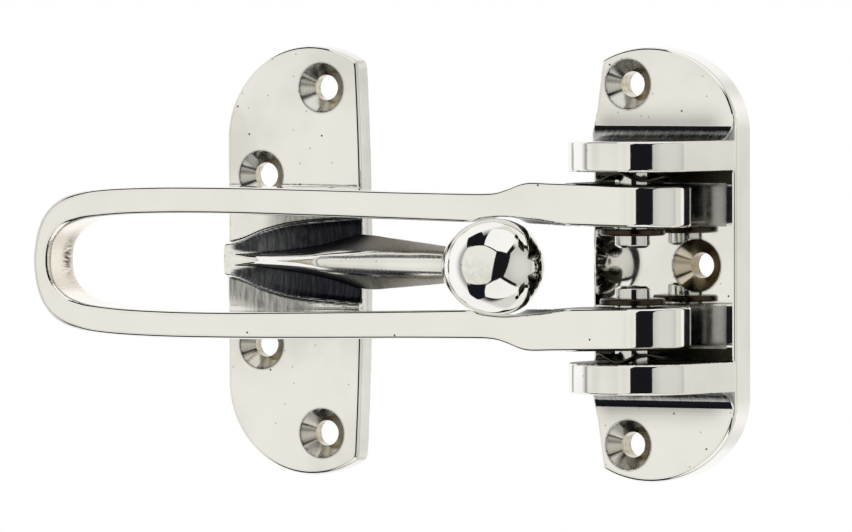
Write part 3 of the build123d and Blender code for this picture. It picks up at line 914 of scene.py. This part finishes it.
# painted shade: the plate's face between the ears behind the knuckle
pick[(np.abs(mid[:, 1] - 6.0) < 0.12) & (nn[:, 1] > 0.9) & (np.abs(np.abs(mid[:, 2]) - 10.6) < 3.8) & (mid[:, 0] > 1.0) & (mid[:, 0] < 13.0)] = 5
for name, values in (("ring", ring), ("brass", inner), ("shade", shade), ("lip_shade", lip_shade)):
    paint(o, name, values)
# the hollows beside the ears are painted a dull dark grey, most on their steep walls: partly unpolished metal, partly
# painted shade
hollow = ((np.abs(v[:, 2]) > 21.85) & (np.abs(v[:, 2]) < 26.4) & (v[:, 1] > 6.0)) * ease(10.7, 9.9, v[:, 1])
paint(o, "dull_and_shade", hollow * (0.10 * ease(0.998, 0.93, n[:, 1]) + 0.90 * ease(0.82, 0.72, n[:, 1])))
# painted shade: the flat darkens softly towards the hollows where it runs into them
hollow_edge_shade = 0.5 * np.clip((29.6 - np.abs(v[:, 2])) / 4.4, 0, 1) ** 2 * (np.abs(v[:, 2]) > 24.4) * (np.abs(v[:, 1] - 6.2) < 0.6)
paint(o, "soft", hollow_edge_shade * ease(14.2, 9.0, v[:, 0]) * ease(-13.5, -9.0, v[:, 0]))
zones(o, [m_plate, m_turned, m_brass, m_ground, m_gap_shade, m_slot_shade], pick)

v, q, n = surface(swing_bar, (-114.6, 10.1, -14.8), (9.6, 24.3, 14.8), STEP)
o = piece("swing_bar_loop", v, q, n, "bar", ["swing_bar"])
inward = ease(0.15, 0.55, n[:, 0]) * ease(-96.0, -104.0, v[:, 0]) * (v[:, 0] > -112.6)
# painted shade: the rolled edge round the tip, facing the slot, is painted dull grey in place of a darker reflection
rim_shade = ease(0.1, 0.3, n[:, 1]) * ease(0.965, 0.93, n[:, 1]) * ease(-101.0, -107.0, v[:, 0]) * ease(1.6, 2.4, slot(v[:, 0], v[:, 2]))
paint(o, "dull_and_shade", 0.42 * rim_shade)
paint(o, "stain", inward * ease(24.2, 23.2, v[:, 1]))
paint(o, "dash", np.exp(-((v[:, 1] - 17.4) / 1.4) ** 2) * np.exp(-((v[:, 2] - 0.6) / 3.2) ** 2))
mid, nn = face_mid(v, q), face_mid(n, q)
pick = np.zeros(len(q), int)
# painted shade: the knuckle's faces under the ears, its bore and the slot walls by it are near black
pick[(np.abs(nn[:, 2]) > 0.9) & (np.abs(mid[:, 2]) > 13.6) & (mid[:, 0] > -9.5)] = 1
pick[(np.hypot(mid[:, 0], mid[:, 1] - PIN_F) < 3.25)] = 1
pick[(np.abs(nn[:, 2]) > 0.9) & (np.abs(mid[:, 2]) < 7.7) & (mid[:, 0] > -12.0)] = 1
# painted shade on the scallop and its run-out
pick[np.abs(groove_of(*mid.T)) < 0.1] = 2
pick[(pick == 2) & (mid[:, 0] > -21.0)] = 3
zones(o, [m_bar, m_gap_shade, m_groove_shade, m_run_out_shade], pick)

v, q, n, c = surface(ball_plate, (-86.2, 0, -38), (-24.0, 25.5, 38), STEP, hole_rings(HOLES_BP, 4.4))
o = piece("ball_plate_body", v, q, n, "plates", ["ball_plate"], c)
pick, ring, inner, shade, lip_shade = plate_zones(v, q, n, HOLES_BP, 4.4)
for name, values in (("ring", ring), ("brass", inner), ("shade", shade), ("lip_shade", lip_shade)):
    paint(o, name, values)
a = np.abs(v[:, 2])
# painted shade: the plate just outside the leaf's rim is painted dull grey beside the raised leaf, and the side wall
# facing the hinge a little grey too
away = a - leaf_a(v[:, 0]) - 0.4
near = np.where(v[:, 2] > 0, ease(4.6, 1.6, away) * ease(-79.5, -73.5, v[:, 0]), ease(5.6, 2.6, away) * ease(-65.5, -72.0, v[:, 0]))
wall_shade = 0.2 * ease(0.6, 0.9, n[:, 0]) * (v[:, 0] > -62.0) * (v[:, 0] < -57.0) * ease(4.3, 3.6, v[:, 1])
paint(o, "dull_and_shade", np.maximum(near * (v[:, 1] > 4.0) * ease(5.3, 4.6, v[:, 1]), wall_shade))
beside = ease(0.0, 0.3, a - rib_w(v[:, 0]) - shoulder(v[:, 0]))
on_plate = v[:, 0] < -58.0
rim_in = ease(0.1, 0.4, leaf_a(v[:, 0]) - a)
inside = np.where(on_plate, rim_in * (v[:, 1] > 4.2), 1.0)
tip = ease(-84.6, -83.0, v[:, 0])
# painted shade: a thin dark line along the rib's shoulders and a dark band under the rib on the lower side, in place of
# dark reflections
line = 0.85 * np.exp(-((a - rib_w(v[:, 0]) - 0.15) / 0.16) ** 2) * (v[:, 1] > rib_h(v[:, 0]) - 0.6)
band_shade = np.where(v[:, 2] < 0, 0.95 * ease(0.1, 0.35, a - rib_w(v[:, 0])) * ease(-38.0, -44.0, v[:, 0]) * ease(1.0, 0.75, a - rib_w(v[:, 0])), 0.0)
along = ease(-62.5, -58.5, v[:, 0]) * ease(-30.5, -34.0, v[:, 0])
paint(o, "cast_and_shade", np.maximum(beside * inside * tip, np.maximum(line, band_shade) * along))
paint(o, "lighter", ease(-63.0, -79.0, v[:, 0] + 0.5 * (v[:, 2] < 0) * a))
paint(o, "warm", ease(-57, -49, v[:, 0]) * ease(0.05, 0.4, a - rib_w(v[:, 0]) - shoulder(v[:, 0])))
zones(o, [m_arm, m_turned, m_brass, m_ground], pick)


# ---------------------------------------------------------------- round pieces
def rounded(points, radii, n=6, closed=True):
    """Points and normals round a profile with rolled corners; the inside is on the left going round."""
    p = np.array(points, float)
    out, nor = [], []
    last = len(p)
    for i in range(last):
        if not closed and i in (0, last - 1):
            d = p[1] - p[0] if i == 0 else p[-1] - p[-2]
            d = d / np.linalg.norm(d)
            out.append(p[i]); nor.append((d[1], -d[0]))
            continue
        a, b, c = p[i - 1], p[i], p[(i + 1) % last]
        u, w = (b - a) / np.linalg.norm(b - a), (c - b) / np.linalg.norm(c - b)
        nu, nw = np.array((u[1], -u[0])), np.array((w[1], -w[0]))
        turn = math.atan2(u[0] * w[1] - u[1] * w[0], float(u @ w))
        r = radii[i]
        back = r * abs(math.tan(turn / 2))
        start = b - u * back
        centre = start - nu * r * (1 if turn > 0 else -1)
        a0 = math.atan2(*(start - centre)[::-1])
        for t in np.linspace(0, 1, n + 1):
            ang = a0 + turn * t
            e = np.array((math.cos(ang), math.sin(ang)))
            out.append(centre + r * e)
            nor.append(tuple(e if turn > 0 else -e))
    return np.array(out), np.array(nor)


def lathe(profile, normals, turns, at, closed):
    """Turns a profile of (radius, height) about the upright axis through at."""
    t = np.linspace(0, 2 * math.pi, turns, endpoint=False)
    m = len(profile)
    r, h = profile[:, 0], profile[:, 1]
    vert = np.stack([np.outer(np.cos(t), r) + at[0], np.outer(np.sin(t), r) + at[1], np.tile(h, (turns, 1))], -1).reshape(-1, 3)
    nor = np.stack([np.outer(np.cos(t), normals[:, 0]), np.outer(np.sin(t), normals[:, 0]), np.tile(normals[:, 1], (turns, 1))], -1).reshape(-1, 3)
    faces = []
    for i in range(turns):
        j = (i + 1) % turns
        for k in range(m if closed else m - 1):
            l = (k + 1) % m
            faces.append((i * m + k, j * m + k, j * m + l, i * m + l))
    return vert, nor, faces


def close_ends(vert, nor, faces, m, turns):
    """Puts one point on the axis at each end of an open profile."""
    vert, nor, faces = list(map(tuple, vert)), list(map(tuple, nor)), list(faces)
    for k, sign in ((0, -1), (m - 1, 1)):
        ring = [i * m + k for i in range(turns)]
        c = np.mean([vert[i] for i in ring], 0)
        z = nor[ring[0]]
        vert.append(tuple(c)); nor.append(z)
        tip = len(vert) - 1
        for i in range(turns):
            a, b = ring[i], ring[(i + 1) % turns]
            faces.append((tip, b, a) if sign < 0 else (tip, a, b))
    return np.array(vert), np.array(nor), faces


for side, s in (("upper", 1), ("lower", -1)):
    # pin: chamfered running end, flush riveted end in the ear
    prof, pn = rounded([(0.6, 3.3), (2.45, 3.3), (3.05, 3.75), (3.05, 21.62), (2.75, 21.86), (0.6, 21.86)], [0, 0.2, 0.35, 0.12, 0.2, 0], 5, False)
    v, n, f = lathe(prof, pn, 72, (0, PIN_F), False)
    v, n, f = close_ends(v, n, f, len(prof), 72)
    v[:, 2] *= s
    n[:, 2] *= s
    o = piece(f"{side}_pivot_pin_turned", v, [list(x) for x in f], n, "plates", [f"{side}_pivot_pin"])
    o.data.materials.append(m_pin)
    # retaining washer: thin collar with a rolled outer edge
    prof, pn = rounded([(3.05, 5.45), (5.7, 5.45), (5.7, 6.6), (3.05, 6.6)], [0.12, 0.42, 0.2, 0.12], 6)
    v, n, f = lathe(prof, pn, 84, (0, PIN_F), True)
    v[:, 2] *= s
    n[:, 2] *= s
    o = piece(f"{side}_retaining_washer_ring", v, [list(x) for x in f], n, "plates", [f"{side}_retaining_washer"])
    o.data.materials.append(m_bronze)
    # wave washer: spring ring bent in waves along X
    prof, pn = rounded([(3.15, -0.225), (6.4, -0.225), (6.4, 0.225), (3.15, 0.225)], [0.09, 0.12, 0.12, 0.09], 4)
    v, n, f = lathe(prof, pn, 120, (0, PIN_F), True)
    top = 16.6 - 0.45
    mean, amp, kx = (top + 14.8) / 2 + 0.225, (top - 14.8) / 2, 2 * math.pi / 8.6
    rise = mean + amp * np.cos(kx * v[:, 0])
    tilt = amp * kx * np.sin(kx * v[:, 0])
    n[:, 0] += tilt * n[:, 2]
    n /= np.linalg.norm(n, axis=1)[:, None]
    v[:, 2] += rise
    v[:, 2] *= s
    n[:, 2] *= s
    o = piece(f"{side}_wave_washer_spring", v, [list(x) for x in f], n, "plates", [f"{side}_wave_washer"])
    o.data.materials.append(m_spring)

# striker ball: round in front, drawn out a little towards the arm
R, LONG, TILT = 8.395, 10.6, math.radians(16.0)
rows, turns = 96, 144
t = np.linspace(0, math.pi, rows + 1)
along, radius = np.where(t < math.pi / 2, R, LONG) * np.cos(t), R * np.sin(t)
dal, dra = -np.where(t < math.pi / 2, R, LONG) * np.sin(t), R * np.cos(t)
na, nr = dra.copy(), -dal
na, nr = np.where(True, -na * -1, na), nr
norm = np.hypot(na, nr)
na, nr = na / norm, nr / norm
vert, nor, faces = [], [], []
phi = np.linspace(0, 2 * math.pi, turns, endpoint=False)
for i in range(1, rows):
    for p in phi:
        vert.append((along[i], radius[i] * math.cos(p), radius[i] * math.sin(p)))
        nor.append((na[i], nr[i] * math.cos(p), nr[i] * math.sin(p)))
for i in range(rows - 2):
    for j in range(turns):
        k = (j + 1) % turns
        faces.append((i * turns + j, i * turns + k, (i + 1) * turns + k, (i + 1) * turns + j))
vert.append((R, 0, 0)); nor.append((1, 0, 0))
vert.append((-LONG, 0, 0)); nor.append((-1, 0, 0))
head, tail = len(vert) - 2, len(vert) - 1
for j in range(turns):
    k = (j + 1) % turns
    faces.append((head, k, j))
    faces.append((tail, (rows - 2) * turns + j, (rows - 2) * turns + k))
vert, nor = np.array(vert), np.array(nor)
c, s = math.cos(TILT), math.sin(TILT)
turn = np.array(((c, -s, 0), (s, c, 0), (0, 0, 1)))
vert = vert @ turn.T + np.array((-21.8, 25.8, 0))
nor = nor @ turn.T
o = piece("striker_ball_polished", vert, [list(x) for x in faces], nor, "plates", ["striker_ball"])
o.data.materials.append(m_chrome)

# ---------------------------------------------------------------- floor and camera
floor_mesh = bpy.data.meshes.new("floor")
floor_mesh.from_pydata([(-2.5, -2.5, -0.32), (2.5, -2.5, -0.32), (2.5, 2.5, -0.32), (-2.5, 2.5, -0.32)], [], [(0, 1, 2, 3)])
floor = bpy.data.objects.new("floor", floor_mesh)
scene.collection.objects.link(floor)
k = Nodes("floor_paper")
grain = k.noise(30, 3.0)
k.put(k.b.inputs["Base Color"], k.mix(grain, (0.93, 0.925, 0.91), (0.96, 0.955, 0.945)))
k.b.inputs["Roughness"].default_value = 0.9
clear = k.t.nodes.new("ShaderNodeBsdfTransparent")
under = k.t.nodes.new("ShaderNodeNewGeometry").outputs["Backfacing"]
both = k.t.nodes.new("ShaderNodeMixShader")
k.link(under, both.inputs[0])
k.link(k.b.outputs[0], both.inputs[1])
k.link(clear.outputs[0], both.inputs[2])
k.link(both.outputs[0], k.t.nodes["Material Output"].inputs["Surface"])
floor_mesh.materials.append(k.m)
floor.visible_glossy = False

AZ, EL, ROLL, DIST, FOCAL = 26.4, 1.7, math.radians(-0.1), 2.0, 11400.0
target = Vector((-0.04238, -0.012, -0.00047))
back = direction(AZ, EL)
right = Vector((0, 0, 1)).cross(back).normalized()
up = back.cross(right)
r2 = right * math.cos(ROLL) + up * math.sin(ROLL)
u2 = up * math.cos(ROLL) - right * math.sin(ROLL)
cam_data = bpy.data.cameras.new("camera")
cam_data.sensor_fit = "HORIZONTAL"
cam_data.sensor_width = 36.0
cam_data.lens = FOCAL / 852 * 36.0
cam_data.clip_start, cam_data.clip_end = 0.05, 50.0
cam = bpy.data.objects.new("camera", cam_data)
scene.collection.objects.link(cam)
place = target + back * DIST
cam.matrix_world = Matrix(((r2.x, u2.x, back.x, place.x), (r2.y, u2.y, back.y, place.y), (r2.z, u2.z, back.z, place.z), (0, 0, 0, 1)))
scene.camera = cam
